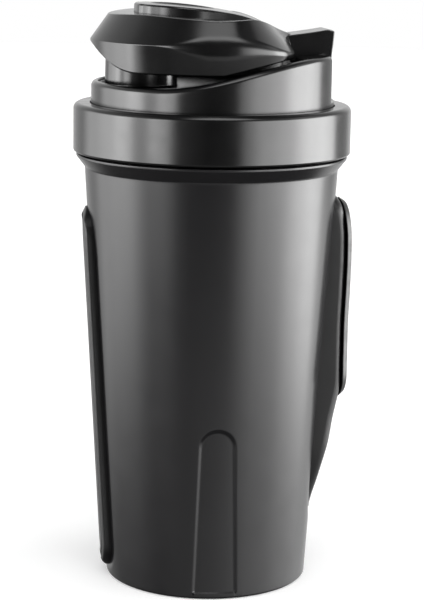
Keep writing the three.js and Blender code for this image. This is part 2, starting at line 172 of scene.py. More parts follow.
def rounded(corners, closed=False, steps=6):
    """A polyline through corners (a, b, fillet radius), each corner turned into a true arc."""
    points = np.array([c[:2] for c in corners], float)
    radii = [c[2] if len(c) > 2 else 0 for c in corners]
    count = len(points)
    path = []
    for i, (p, r) in enumerate(zip(points, radii)):
        if r <= 0 or (not closed and i in (0, count - 1)):
            path.append(p)
            continue
        u = points[i - 1] - p
        v = points[(i + 1) % count] - p
        reach = 0.499 * min(np.linalg.norm(u), np.linalg.norm(v))
        u /= np.linalg.norm(u)
        v /= np.linalg.norm(v)
        half = math.acos(np.clip(u @ v, -1, 1)) / 2
        tangent = min(r / math.tan(half), reach)
        r = tangent * math.tan(half)
        centre = p + (u + v) / np.linalg.norm(u + v) * (r / math.sin(half))
        a, b = p + u * tangent - centre, p + v * tangent - centre
        sweep = math.pi - 2 * half
        for t in np.linspace(0, 1, steps + 1):
            weight = math.sin((1 - t) * sweep), math.sin(t * sweep)
            path.append(centre + (a * weight[0] + b * weight[1]) / math.sin(sweep))
    return np.array(path)


def resample(path, count, closed=False):
    """The same curve with points spaced evenly along it."""
    path = np.vstack([path, path[:1]]) if closed else np.asarray(path)
    along = np.r_[0, np.cumsum(np.linalg.norm(np.diff(path, axis=0), axis=1))]
    wanted = np.linspace(0, along[-1], count, endpoint=not closed)
    return np.stack([np.interp(wanted, along, path[:, k]) for k in range(path.shape[1])], axis=1)


# ---- mesh building


def finish_mesh(name, bm, sharp_deg=32):
    """Turns a bmesh in millimetres into a smooth-shaded object in metres."""
    bmesh.ops.remove_doubles(bm, verts=bm.verts, dist=1e-4)
    bmesh.ops.dissolve_degenerate(bm, edges=bm.edges, dist=1e-4)
    bmesh.ops.recalc_face_normals(bm, faces=bm.faces)
    if bm.calc_volume(signed=True) < 0:
        bmesh.ops.reverse_faces(bm, faces=bm.faces)
    bmesh.ops.scale(bm, vec=(MM, MM, MM), verts=bm.verts)
    mesh = bpy.data.meshes.new(name)
    bm.to_mesh(mesh)
    bm.free()
    mesh.shade_smooth()
    mesh.set_sharp_from_angle(angle=math.radians(sharp_deg))
    piece = bpy.data.objects.new(name, mesh)
    bpy.context.scene.collection.objects.link(piece)
    return piece


def grid_bmesh(points, wrap_rows=False):
    """Quads over a (rows, columns, 3) array whose columns close on themselves."""
    points = np.asarray(points, float)
    rows, cols = points.shape[:2]
    bm = bmesh.new()
    verts = [[bm.verts.new(p) for p in row] for row in points]
    for i in range(rows if wrap_rows else rows - 1):
        for j in range(cols):
            a, b = verts[i], verts[(i + 1) % rows]
            k = (j + 1) % cols
            bm.faces.new((a[j], a[k], b[k], b[j]))
    return bm


def grid_piece(name, points, wrap_rows=False, sharp_deg=32):
    piece = finish_mesh(name, grid_bmesh(points, wrap_rows), sharp_deg)
    keep_flats_flat(piece)
    return piece


def keep_flats_flat(piece):
    weighted = piece.modifiers.new("normals", "WEIGHTED_NORMAL")
    weighted.keep_sharp = True


def turned(name, path, columns=160, centre=(0, 0), wrap=False):
    """A piece turned round a vertical axis from a (radius, z) path."""
    angles = np.linspace(0, 2 * math.pi, columns, endpoint=False)
    path = np.asarray(path, float)
    rings = np.empty((len(path), columns, 3))
    rings[:, :, 0] = centre[0] + path[:, :1] * np.cos(angles)
    rings[:, :, 1] = centre[1] + path[:, :1] * np.sin(angles)
    rings[:, :, 2] = path[:, 1:]
    return grid_piece(name, rings, wrap)


def apply_modifiers(piece):
    with bpy.context.temp_override(object=piece, active_object=piece):
        for modifier in list(piece.modifiers):
            bpy.ops.object.modifier_apply(modifier=modifier.name)


def cut_or_join(piece, tool, operation):
    """A boolean of two closed pieces; the tool is used up."""
    piece.modifiers.clear()
    boolean = piece.modifiers.new("boolean", "BOOLEAN")
    boolean.operation = operation
    boolean.solver = "MANIFOLD"
    boolean.object = tool
    bpy.context.view_layer.update()
    apply_modifiers(piece)
    bpy.data.objects.remove(tool)
    piece.data.shade_smooth()
    piece.data.set_sharp_from_angle(angle=math.radians(32))
    return piece


def soften_edges(piece, picks, width, segments=3):
    """Rounds the sharp edges whose middle passes picks(x, y, z), in millimetres."""
    mesh = piece.data
    weight = mesh.attributes.new("bevel_weight_edge", "FLOAT", "EDGE")
    sharp = mesh.attributes.get("sharp_edge")
    for edge in mesh.edges:
        a, b = (mesh.vertices[v].co / MM for v in edge.vertices)
        if sharp and sharp.data[edge.index].value and picks(*((a + b) / 2)):
            weight.data[edge.index].value = 1
    bevel = piece.modifiers.new("soft edges", "BEVEL")
    bevel.limit_method = "WEIGHT"
    bevel.width = width * MM
    bevel.segments = segments
    bevel.harden_normals = False
    keep_flats_flat(piece)


# ---- materials


class Shader:
    """A Principled material with short helpers for its procedural nodes."""

    def __init__(self, name, color, roughness, metallic=0.0):
        self.material = bpy.data.materials.new(name)
        self.material.use_nodes = True
        self.nodes = self.material.node_tree.nodes
        self.links = self.material.node_tree.links
        self.principled = self.nodes["Principled BSDF"]
        self.principled.inputs["Base Color"].default_value = (*color, 1)
        self.principled.inputs["Roughness"].default_value = roughness
        self.principled.inputs["Metallic"].default_value = metallic
        self.coordinates = self.nodes.new("ShaderNodeTexCoord").outputs["Object"]

    def set(self, **values):
        for key, value in values.items():
            self.principled.inputs[key.replace("_", " ")].default_value = value
        return self

    def noise(self, grain_mm, detail=3.0, roughness=0.55, stretch=(1, 1, 1)):
        mapping = self.nodes.new("ShaderNodeMapping")
        mapping.inputs["Scale"].default_value = stretch
        self.links.new(self.coordinates, mapping.inputs["Vector"])
        noise = self.nodes.new("ShaderNodeTexNoise")
        noise.inputs["Scale"].default_value = 1 / (grain_mm * MM)
        noise.inputs["Detail"].default_value = detail
        noise.inputs["Roughness"].default_value = roughness
        self.links.new(mapping.outputs["Vector"], noise.inputs["Vector"])
        return noise.outputs["Fac"]

    def ramp(self, source, low, high, out_low, out_high):
        span_node = self.nodes.new("ShaderNodeMapRange")
        span_node.inputs["From Min"].default_value = low
        span_node.inputs["From Max"].default_value = high
        span_node.inputs["To Min"].default_value = out_low
        span_node.inputs["To Max"].default_value = out_high
        self.links.new(source, span_node.inputs["Value"])
        return span_node.outputs["Result"]

    def vary_roughness(self, source, low, high):
        self.links.new(self.ramp(source, 0.3, 0.7, low, high), self.principled.inputs["Roughness"])

    def vary_color(self, source, dark, light):
        mix = self.nodes.new("ShaderNodeMix")
        mix.data_type = "RGBA"
        mix.inputs["A"].default_value = (*dark, 1)
        mix.inputs["B"].default_value = (*light, 1)
        self.links.new(self.ramp(source, 0.3, 0.7, 0, 1), mix.inputs["Factor"])
        self.links.new(mix.outputs["Result"], self.principled.inputs["Base Color"])

    def bump(self, *layers):
        """Each layer is (height source, depth in millimetres)."""
        normal = None
        for source, depth in layers:
            bump = self.nodes.new("ShaderNodeBump")
            bump.inputs["Strength"].default_value = 1.0
            bump.inputs["Distance"].default_value = depth * MM
            self.links.new(source, bump.inputs["Height"])
            if normal:
                self.links.new(normal, bump.inputs["Normal"])
            normal = bump.outputs["Normal"]
        self.links.new(normal, self.principled.inputs["Normal"])


def cup_plastic():
    """Satin injection-moulded plastic with a fine spark-eroded texture and faint handling marks."""
    s = Shader("cup_plastic", (0.003, 0.0028, 0.0033), 0.26)
    s.vary_color(s.noise(18, 2), (0.0027, 0.0025, 0.003), (0.0034, 0.0031, 0.0037))
    s.vary_roughness(s.noise(9, 4), 0.24, 0.27)
    s.bump((s.noise(0.35, 2), 0.003), (s.noise(5, 3, stretch=(1, 1, 0.3)), 0.006))
    return s.material


def lid_plastic():
    """Semi-gloss black plastic with very light flow and handling marks."""
    s = Shader("lid_plastic", (0.0014, 0.0014, 0.0015), 0.2)
    s.vary_roughness(s.noise(7, 5), 0.18, 0.23)
    s.bump((s.noise(0.5, 2), 0.004), (s.noise(11, 2), 0.03))
    return s.material


def grip_rubber():
    """Soft-touch rubber with a fine stipple."""
    s = Shader("grip_rubber", (0.0022, 0.0021, 0.0024), 0.42)
    s.vary_color(s.noise(12, 3), (0.002, 0.0019, 0.0021), (0.0028, 0.0026, 0.0029))
    s.vary_roughness(s.noise(5, 4), 0.38, 0.48)
    s.bump((s.noise(0.4, 2, 0.4), 0.05))
    return s.material


def silicone():
    """Milky food-grade silicone."""
    s = Shader("seal_silicone", (0.5, 0.51, 0.53), 0.45)
    s.set(Subsurface_Weight=0.25, Subsurface_Scale=0.002)
    s.vary_roughness(s.noise(4, 3), 0.4, 0.52)
    s.bump((s.noise(0.6, 2), 0.01))
    return s.material


def steel():
    """Drawn stainless wire."""
    s = Shader("steel_wire", (0.58, 0.58, 0.6), 0.22, metallic=1)
    s.vary_roughness(s.noise(1.5, 4, stretch=(1, 1, 0.2)), 0.16, 0.3)
    s.bump((s.noise(0.3, 3, stretch=(0.2, 0.2, 1)), 0.006))
    return s.material


MATERIALS = {
    "cup_plastic": cup_plastic(),
    "lid_plastic": lid_plastic(),
    "grip_rubber": grip_rubber(),
    "seal_silicone": silicone(),
    "steel_wire": steel(),
}


def dress(piece, slot, body, *replaced):
    piece.data.materials.clear()
    piece.data.materials.append(MATERIALS[slot])
    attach(piece, body)
    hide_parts(*replaced)
    return piece


# ---- cup


def thread_height(angle, z, top, turns):
    """How far the screw ridge stands out (0 to 1) at an angle and height on a right-handed thread."""
    height = np.zeros_like(z)
    for lap in range(-1, 3):
        t = lap - angle / (2 * math.pi)
        centre = top - LEAD * t
        ridge = 1 - smooth(np.abs(z - centre), 0.7, 1.5)
        run = smooth(t, -0.02, 0.05) * (1 - smooth(t, turns - 0.05, turns + 0.02))
        height = np.maximum(height, ridge * run)
    return height


def arch_distance(s, z):
    """Signed distance outside the arch panel's outline; s runs round the cup from its middle."""
    centre = ARCH_TOP - ARCH_TOP_HALF
    half = lerp(ARCH_BASE_HALF, ARCH_TOP_HALF, np.clip(z / centre, 0, 1))
    return np.where(z < centre, np.abs(s) - half, np.hypot(s, z - centre) - ARCH_TOP_HALF)


def stadium_distance(s, z, half, z0, z1):
    return np.hypot(s, z - np.clip(z, z0 + half, z1 - half)) - half


def cup_displacement(angle, z):
    """Moulded detail in the outer wall, in millimetres outwards."""
    radius = cup_radius(z)
    around = lambda middle: (np.mod(angle - middle + math.pi, 2 * math.pi) - math.pi) * radius
    arch = -ARCH_DEPTH * (1 - smooth(arch_distance(around(-math.pi / 2), z), -1.2, 0.1))
    front = stadium_distance(around(math.pi), z, 10, FRONT_LOW[2], FRONT_HIGH[2] - 6)
    rear = stadium_distance(around(0), z, 10, POD_LOW[2] - 4, POD_HIGH[2])
    seat = -FRONT_SEAT * (1 - smooth(front, 0.5, 4.5)) - REAR_SEAT * (1 - smooth(rear, 0.4, 3.5))
    return arch + seat * smooth(z, 1, 5)


def cup():
    fine = np.radians(np.arange(-106, -73.9, 0.45))
    sides = [np.radians(np.arange(a, a + 56, 0.8)) for a in (-28, 152)]
    coarse = np.radians(np.arange(0, 360, 2.4))
    angles = np.concatenate([fine, *sides, coarse])
    angles = np.unique(np.round(np.mod(angles, 2 * math.pi), 4))
    angles = angles[np.r_[True, np.diff(angles) > 0.003]]

    inside = cup_radius(FLANGE_Z) - WALL
    foot = rounded(
        [(FOOT_R - 6, FOOT_HOLLOW), (FOOT_R - 5, 0, 0.3), (FOOT_R, 0, 0.9), (cup_radius(2), 2)]
    )
    heights = np.r_[np.arange(2.5, 66, 0.5), np.arange(66, 140, 1.5), np.arange(140, 146.9, 0.75)]
    wall = np.stack([cup_radius(heights), heights], axis=1)
    flange = rounded(
        [
            (cup_radius(FLANGE_Z - 1.2), FLANGE_Z - 1.2),
            (cup_radius(FLANGE_Z), FLANGE_Z, 1.6),
            (FLANGE_R - 0.1, FLANGE_TOP - 0.9, 0.35),
            (FLANGE_R, FLANGE_TOP, 0.35),
            (NECK_R, FLANGE_TOP, 0.4),
            (NECK_R, FLANGE_TOP + 1),
        ]
    )
    neck_z = np.arange(FLANGE_TOP + 1.2, RIM_Z - 0.7, 0.3)
    neck = np.stack([np.full_like(neck_z, NECK_R), neck_z], axis=1)
    rim = rounded(
        [
            (NECK_R, RIM_Z - 0.7),
            (NECK_R, RIM_Z, 0.5),
            (inside, RIM_Z, 0.5),
            (inside, FLANGE_Z, 8),
            (FOOT_R - WALL, FLOOR_Z, 4),
            (0, FLOOR_Z),
        ]
    )
    path = np.vstack([[(0, FOOT_HOLLOW)], foot, wall, flange, neck, rim])
    section = np.repeat(["foot", "wall", "flange", "neck", "rim"],
                        [1 + len(foot), len(wall), len(flange), len(neck), len(rim)])
    radius = np.repeat(path[:, :1], len(angles), axis=1)
    z = np.repeat(path[:, 1:], len(angles), axis=1)
    turn = np.repeat(angles[None], len(path), axis=0)
    outer = (section == "wall")[:, None]
    radius = radius + np.where(outer, cup_displacement(turn, z), 0)
    threaded = (section == "neck")[:, None]
    ridge = thread_height(turn, z, THREAD_TOP, CUP_TURNS) * THREAD_CREST
    radius = radius + np.where(threaded, ridge, 0)
    rings = np.stack([radius * np.cos(turn), radius * np.sin(turn), z], axis=2)
    piece = grid_piece("cup_body", rings, sharp_deg=50)
    return dress(piece, "cup_plastic", "cup", "cup")


# ---- grips


def stadium_rings(half, z0, z1, insets, corner=20, side=60):
    """Offset outlines of an upright slot shape, all with the same number of points."""
    rings = []
    for inset in insets:
        r = half - inset
        top, bottom = z1 - half, z0 + half
        turn = np.linspace(0, math.pi, corner)
        left = np.linspace(top, bottom, side)[1:-1]
        arc_top = np.stack([r * np.cos(turn), top + r * np.sin(turn)], axis=1)
        arc_low = np.stack([-r * np.cos(turn), bottom - r * np.sin(turn)], axis=1)
        down = np.stack([np.full_like(left, -r), left], axis=1)
        up = np.stack([np.full_like(left, r), left[::-1]], axis=1)
        rings.append(np.vstack([arc_top, down, arc_low, up]))
    return np.array(rings)


def slot_pad(name, half, z0, z1, profile, place, sharp_deg=40):
    """A slot-shaped pad: profile is (inset, height) from its back edge to its middle."""
    profile = np.asarray(profile, float)
    rings = stadium_rings(half, z0, z1, profile[:, 0])
    s, z = rings[:, :, 0], rings[:, :, 1]
    height = np.repeat(profile[:, 1:], s.shape[1], axis=1)
    return grid_piece(name, place(s, z, height), sharp_deg=sharp_deg)


def with_back(profile, back):
    """Closes a pad's height profile with a flat back at the given height."""
    widest = profile[-1][0]  # the middle line, where both flanks meet
    return np.vstack([[(widest, back)], [(profile[0][0], back)], profile])


def front_grip():
    half = (FRONT_HIGH[1] - FRONT_LOW[1]) / 2
    profile = rounded(
        [
            (0, 0.2),
            (0.12, 2.35, 0.8),
            (2.3, 2.35, 0.3),
            (2.9, 1.25, 0.3),
            (4.3, 1.25, 0.3),
            (4.9, 1.95, 0.3),
            (half, 2.1),
        ]
    )

    z0, z1 = FRONT_LOW[2], FRONT_HIGH[2]

    def place(s, z, height):
        angle = math.pi + s / cup_radius(z)
        ends = (1 - smooth(z, z1 - 4.5, z1)) * smooth(z, z0, z0 + 3.5)
        sunk = np.where(height > 0, height * lerp(0.3, 1, ends), height)
        radius = cup_radius(z) + sunk
        return np.stack([radius * np.cos(angle), radius * np.sin(angle), z], axis=2)

    piece = slot_pad("front_grip_pad", half, z0, z1, with_back(profile, -0.9), place)
    return dress(piece, "grip_rubber", "cup", "front_grip")


POD_HALF = 9.6
REAR_FACE = curve_through(
    [(25.5, 37.7), (33, 39.9), (41, 41.9), (48.5, 43.8), (57, 46.2), (64, 48.4), (70, 49.6),
     (80, 49.8), (93, 49.8), (106, 50.2), (119, 50.4), (126, 50.2), (131, 49.6), (134, 49.0),
     (136.6, 47.9), (138.4, 46.2), (139.3, 44.3)]
)


def rear_pod():
    """The moulded pod: flat flanks, rounded shoulders, wedge-shaped foot and rounded head."""
    pad_seat = 2.0  # how far the pod's face lies below the pad's
    crown = 0.45
    z = np.r_[np.linspace(24.2, 60, 40), np.linspace(61, 128, 50), np.linspace(129, 139.2, 26)]
    face = REAR_FACE(z) - pad_seat * smooth(z, 46, 66)
    half = POD_HALF * (0.62 + 0.38 * smooth(z, 20, 50)) * (1 - 0.35 * smooth(z, 131, 140) ** 2)
    seat = cup_radius(z) - 1.2
    turn = np.linspace(0, math.pi / 2, 7)
    columns = []
    for zi, fi, hi, si in zip(z, face, half, seat):
        base = math.sqrt(si**2 - hi**2)
        corner = max(min(2.6, fi - base - 0.3), 0.05)
        flank_y, flank_x = hi, fi - crown - corner
        right = [(base, -flank_y), (lerp(base, flank_x, 0.5), -flank_y)]
        right += [(flank_x + corner * math.sin(t), -flank_y + corner * (1 - math.cos(t))) for t in turn]
        flat = hi - corner
        middle = [(fi - crown * (y / flat) ** 2, y) for y in np.linspace(-flat, flat, 9)[1:-1]]
        left = [(x, -y) for x, y in reversed(right)]
        columns.append([(x, y, zi) for x, y in right + middle + left])
    section = np.array(columns)
    ends = [section[:1].mean(axis=1, keepdims=True), section[-1:].mean(axis=1, keepdims=True)]
    caps = [np.repeat(end, section.shape[1], axis=1) for end in ends]
    piece = grid_piece("rear_grip_pod_body", np.concatenate([caps[0], section, caps[1]]), sharp_deg=40)
    return dress(piece, "grip_rubber", "cup", "rear_grip_pod")


def rear_pad():
    thick, crown_radius = 1.7, 70.0
    half = (PAD_HIGH[1] - PAD_LOW[1]) / 2
    profile = rounded(
        [(0.25, 0, 0.15), (0, 0.25, 0.15), (0.15, 0.5, 0.3), (1.5, thick, 0.8), (half, thick + 0.05)]
    )

    def place(s, z, height):
        crown = s**2 / (2 * crown_radius)
        x = REAR_FACE(z) - thick - crown + height
        return np.stack([x, s, z], axis=2)

    z0, z1 = PAD_LOW[2], PAD_HIGH[2]
    piece = slot_pad("rear_grip_outer_pad", half, z0, z1, with_back(profile, 0), place)
    return dress(piece, "grip_rubber", "cup", "rear_grip_pad")


# ---- collar and gasket


def collar():
    outer = rounded(
        [
            (COLLAR_INNER, COLLAR_BOTTOM + 1),
            (COLLAR_INNER, COLLAR_BOTTOM, 0.3),
            (COLLAR_R, COLLAR_BOTTOM, 0.8),
            (COLLAR_R, COLLAR_TOP, 2.1),
            (COLLAR_HOLE, COLLAR_TOP, 0.35),
            (COLLAR_HOLE, COLLAR_TOP - 1.5, 0.3),
            (COLLAR_INNER, COLLAR_TOP - 1.5, 0.4),
            (COLLAR_INNER, COLLAR_TOP - 2.2),
        ]
    )
    inner_z = np.arange(COLLAR_TOP - 2.4, COLLAR_BOTTOM + 1, -0.3)
    inner = np.stack([np.full_like(inner_z, COLLAR_INNER), inner_z], axis=1)
    path = np.vstack([outer, inner])
    angles = np.linspace(0, 2 * math.pi, 192, endpoint=False)
    turn = np.repeat(angles[None], len(path), axis=0)
    z = np.repeat(path[:, 1:], len(angles), axis=1)
    radius = np.repeat(path[:, :1], len(angles), axis=1)
    ridge = thread_height(turn, z, THREAD_TOP - THREAD_OFFSET, COLLAR_TURNS) * (THREAD_CREST + 0.1)
    threaded = (np.arange(len(path)) >= len(outer))[:, None]
    radius = radius - np.where(threaded, ridge, 0)
    rings = np.stack([radius * np.cos(turn), radius * np.sin(turn), z], axis=2)
    piece = grid_piece("screw_collar", rings, wrap_rows=True)
    return dress(piece, "lid_plastic", "collar", "collar")


def gasket():
    inner, outer = 42.2, GASKET_HIGH[0]
    z0, z1 = GASKET_LOW[2], GASKET_HIGH[2]
    path = rounded([(inner, z0, 0.4), (outer, z0, 0.4), (outer, z1, 0.4), (inner, z1, 0.4)], closed=True)
    return dress(turned("neck_gasket_ring", path, wrap=True), "seal_silicone", "lid", "neck_gasket")


# ---- upper lid


def rim_height(x):
    return RIM_FRONT + (RIM_REAR - RIM_FRONT) * smooth(x, *RAMP_X)


def upper_lid():
    """Shroud, sloping rim, rear platform, deck and spout in one moulding, then the tail's notch.

    Each column runs up the outer wall, over the rim, down the inner wall or across the platform, over
    the deck to the spout, down its bore and out under the deck to the skirt and the ledge.
    """
    corner = math.sqrt((SHROUD_R - SHROUD_WALL) ** 2 - CHEEK_X**2)
    corner_angle = math.atan2(corner, CHEEK_X)
    angles = np.linspace(-math.pi, math.pi, 240, endpoint=False)
    rows = []
    quarter = np.linspace(0, math.pi / 2, 7)
    for angle in angles:
        direction = np.array([math.cos(angle), math.sin(angle)])
        outer = SHROUD_R * direction
        if abs(angle) < corner_angle:
            inner = np.array([CHEEK_X, corner * angle / corner_angle])
            meet = np.array([24.0, corner * angle / corner_angle])
        else:
            inner = (SHROUD_R - SHROUD_WALL) * direction
            meet = (38 - 1.4 * direction[0]) * direction
        rim = float(rim_height(outer[0]))
        inward = (inner - outer) / np.linalg.norm(inner - outer)
        column = [(*(SHROUD_R * direction), z) for z in np.linspace(LEDGE_TOP, rim - RIM_FILLET, 8)]
        for t in quarter[1:]:
            at = outer + inward * RIM_FILLET * (1 - math.cos(t))
            column.append((*at, rim - RIM_FILLET + RIM_FILLET * math.sin(t)))
        start = outer + inward * RIM_FILLET
        stop = inner - inward * RIM_EDGE
        for t in (0.33, 0.66, 1):
            at = lerp(start, stop, t)
            column.append((*at, float(rim_height(at[0]))))
        top = column[-1][2]
        for t in quarter[1:]:
            at = stop + inward * RIM_EDGE * math.sin(t)
            column.append((*at, top - RIM_EDGE * (1 - math.cos(t))))
        for z in (lerp(top, DECK_Z, 0.5), DECK_Z + DECK_FILLET):
            column.append((*inner, z))
        to_meet = (meet - inner) / np.linalg.norm(meet - inner)
        for t in quarter[1:]:
            at = inner + to_meet * DECK_FILLET * (1 - math.cos(t))
            column.append((*at, DECK_Z + DECK_FILLET - DECK_FILLET * math.sin(t)))
        column.append((*meet, DECK_Z))
        spout = lambda r: (SPOUT_X + r * direction[0], r * direction[1])
        under = lerp(UNDER_NOTCH_Z, UNDER_Z, float(smooth(abs(angle), 0.8, 1.1)))
        for t in (0.3, 0.65, 1):
            column.append((*lerp(meet, np.array(spout(SPOUT_R + SPOUT_FOOT)), t), DECK_Z))
        for r, z in rounded(
            [
                (SPOUT_R + SPOUT_FOOT, DECK_Z),
                (SPOUT_R, DECK_Z, 0.9),
                (SPOUT_R - 0.35, SPOUT_TOP, 0.9),
                (SPOUT_BORE, SPOUT_TOP, 0.9),
                (SPOUT_BORE, under, 0.5),
                (SPOUT_BORE + 1.5, under),
            ]
        )[1:]:
            column.append((*spout(r), z))
        for r, z in rounded(
            [
                (SKIRT_R, under),
                (SKIRT_R, SKIRT_Z, 0.5),
                (SKIRT_R + SKIRT_WALL, SKIRT_Z, 0.5),
                (SKIRT_R + SKIRT_WALL, LEDGE_Z),
                (LEDGE_R, LEDGE_Z, 0.3),
                (LEDGE_R, LEDGE_TOP, 0.3),
            ]
        ):
            column.append((*(r * direction), z))
        rows.append(column)
    rings = np.array(rows).transpose(1, 0, 2)
    piece = finish_mesh("upper_lid_body", grid_bmesh(rings, wrap_rows=True))
    cut_or_join(piece, notch_cutter(), "DIFFERENCE")
    on_notch = lambda x, y, z: x > 24 and abs(y) < 17 and z > DECK_Z + 0.5
    soften_edges(piece, on_notch, 0.6)
    return dress(piece, "lid_plastic", "lid", "upper_lid")


def notch_cutter():
    outline = rounded(
        [
            (NOTCH_X, -NOTCH_HALF, 1.5),
            (FLARE_X, -NOTCH_HALF, 2.5),
            (60, -NOTCH_HALF - (60 - FLARE_X) * FLARE_SLOPE),
            (60, NOTCH_HALF + (60 - FLARE_X) * FLARE_SLOPE),
            (FLARE_X, NOTCH_HALF, 2.5),
            (NOTCH_X, NOTCH_HALF, 1.5),
        ],
        closed=True,
    )
    rings = [np.c_[outline, np.full(len(outline), z)] for z in (NOTCH_FLOOR, 200.0)]
    centres = [np.repeat(ring.mean(axis=0, keepdims=True), len(outline), axis=0) for ring in rings]
    return finish_mesh("notch_cutter", grid_bmesh([centres[0], *rings, centres[1]]))


# ---- flip cap

CAP_TOP = curve_through(
    [(-43.2, 201.2), (-36, 202.0), (-28, 202.5), (-14, 201.8), (0, 200.8), (7, 200.5), (12, 200.3),
     (16, 199.4), (20, 197.9), (24, 196.4), (27.5, 195.3)]
)
PLATE_TOP = curve_through(
    [(-29, 205.7), (-13.7, 205.4), (0, 203.9), (8.6, 202.3), (15.3, 200.1), (20, 198.1), (24, 196.5)]
)


def cap_top(x, y):
    return CAP_TOP(x) + 0.0016 * smooth(x, -5, 18) * np.asarray(y, float) ** 2


CAP_TIP = curve_through(
    [(-43.2, 191.7), (-41.5, 189.4), (-39.2, 187.0), (-35.8, 184.6), (-31.5, 183.2), (-27, CAP_LOW_Z)]
)


def cap_low_edge(x):
    """Height of the dome's lower edge: level, up to the tip at the front, along the rim at the rear."""
    return np.maximum(CAP_TIP(x), rim_height(x) + RIM_GAP)


def drawn_in(flat, power):
    return (CAP_R**-power + np.maximum(flat, 0) ** power) ** (-1 / power)


def cap_outlines():
    """Plans of the dome's wall and of its top: at the rear the top runs in between two flanks."""
    angle = np.linspace(0, 2 * math.pi, 300, endpoint=False)
    back = np.cos(angle)
    facing = back * math.cos(FLANK_TURN) + np.abs(np.sin(angle)) * math.sin(FLANK_TURN)
    wide = drawn_in(back / SHOULDER_X, SHOULDER_POWER)
    narrow = drawn_in(facing / FLANK_REACH, FLANK_POWER)
    ray = np.stack([np.cos(angle), np.sin(angle)], axis=1)
    return ray * wide[:, None], ray * narrow[:, None]


def cap_shell():
    columns = []
    for plan, top_plan in zip(*cap_outlines()):
        x, y = plan
        low = float(cap_low_edge(x))
        crease = CREASE_Z - REAR_DROP * float(smooth(x, 10, SHOULDER_X))
        narrow = np.linalg.norm(top_plan) / np.linalg.norm(plan)
        rise = float(cap_top(*(top_plan * 0.86))) - CREASE_Z
        edge_share = narrow * (1 - rise * UPPER_LEAN / CAP_R)
        top_edge = float(cap_top(x * edge_share, y * edge_share))
        draft = lerp(TIP_DRAFT, SIDE_DRAFT, float(smooth(x, -32, -20)))
        lower = 1 - (crease - low) * draft / CAP_R
        soft = lerp(0.5, 11.0, float(smooth(x, -24, -2)))
        wall = rounded(
            [
                ((lower - 0.045) * CAP_R, low + 0.3),
                ((lower - 0.012) * CAP_R, low, 0.4),
                (lower * CAP_R, low + 0.5, 0.5),
                (CAP_R, crease, soft),
                (edge_share * CAP_R, top_edge, 0.7),
                ((edge_share - 0.03) * CAP_R, top_edge),
            ],
            steps=8,
        ) / (CAP_R, 1)
        column = [(0.0, 0.0, float(cap_top(0, 0)) - CAP_WALL)]
        inside = edge_share - CAP_WALL / CAP_R
        for share in np.linspace(0, inside, 9)[1:]:
            column.append((*(plan * share), float(cap_top(x * share, y * share)) - CAP_WALL))
        column.append((*(plan * (1 - 1.25 * CAP_WALL / CAP_R)), max(crease - 0.3, low + 2)))
        column += [(*(plan * share), z) for share, z in wall]
        for share in np.linspace(edge_share - 0.04, 0, 22):
            column.append((*(plan * share), float(cap_top(x * share, y * share))))
        columns.append(column)
    rings = np.array(columns).transpose(1, 0, 2)
    piece = finish_mesh("cap_dome", grid_bmesh(rings), sharp_deg=28)
    cut_or_join(piece, cap_tail(), "UNION")
    keep_flats_flat(piece)
    return dress(piece, "lid_plastic", "cap", "cap_shell")


def cap_tail():
    """Thumb tab and hinge knuckle: a side outline carried across, with rounded flanks."""
    side = resample(
        rounded(
            [
                (HINGE_X - 9.5, 191.0),
                (HINGE_X - 6.5, HINGE_Z + 1.5, 2),
                (HINGE_X - 3.8, HINGE_Z - 4.2, 3),
                (HINGE_X + 4.5, HINGE_Z - 4.2, 4),
                (HINGE_X + 8.4, HINGE_Z + 0.9, 1.2),
                (HINGE_X + 9.1, 192.0, 12),
                (42.5, 196.7, 0.6),
                (39.8, 197.3, 1.0),
                (30.5, 195.9, 9),
                (HINGE_X - 9.5, 195.0),
            ],
            closed=True,
        ),
        120,
        closed=True,
    )
    tangent = np.roll(side, -1, axis=0) - np.roll(side, 1, axis=0)
    normal = np.stack([tangent[:, 1], -tangent[:, 0]], axis=1)
    normal /= np.linalg.norm(normal, axis=1, keepdims=True)
    area = 0.5 * np.sum(side[:, 0] * np.roll(side[:, 1], -1) - np.roll(side[:, 0], -1) * side[:, 1])
    normal *= np.sign(area)
    fillet = 0.35
    layers = []
    turn = np.linspace(0, math.pi / 2, 5)
    stations = [(-TAIL_HALF + fillet * (1 - math.sin(t)), fillet * (1 - math.cos(t))) for t in turn[::-1]]
    stations += [(y, 0.0) for y in np.linspace(-TAIL_HALF + fillet, TAIL_HALF - fillet, 9)[1:-1]]
    stations += [(-y, inset) for y, inset in stations[: len(turn)][::-1]]
    for y, inset in stations:
        ring = side - normal * inset
        bulge = (y * y / (2 * CAP_R)) * smooth(ring[:, 0], 34, 42)
        layers.append(np.stack([ring[:, 0] - bulge, np.full(len(ring), y), ring[:, 1]], axis=1))
    middles = [np.repeat(layer.mean(axis=0, keepdims=True), len(side), axis=0)
               for layer in (layers[0], layers[-1])]
    return finish_mesh("cap_tail", grid_bmesh([middles[0], *layers, middles[1]]))


def plate_outline():
    """Plan of the raised layer: a broad round end over the spout, narrowing towards the tail."""
    half = curve_through(
        [(-28.1, 0), (-27.6, 5.0), (-25.5, 10.2), (-21, 14.8), (-15, 17.6), (-8, 18.9), (0, 18.4),
         (8, 16.2), (16, 12.6), (24, 8.6)]
    )
    x = np.concatenate([-28.1 + 12 * np.linspace(0, 1, 30) ** 2, np.linspace(-16, 24, 50)[1:]])
    near = np.stack([x, -half(x)], axis=1)
    far = near[::-1][:, :] * (1, -1)
    outline = [(*p, 0) for p in near[:-1]] + [(*near[-1], 3), (*far[0], 3)]
    outline += [(*p, 0) for p in far[1:-1]]
    return resample(rounded(outline, closed=True), 240, closed=True)


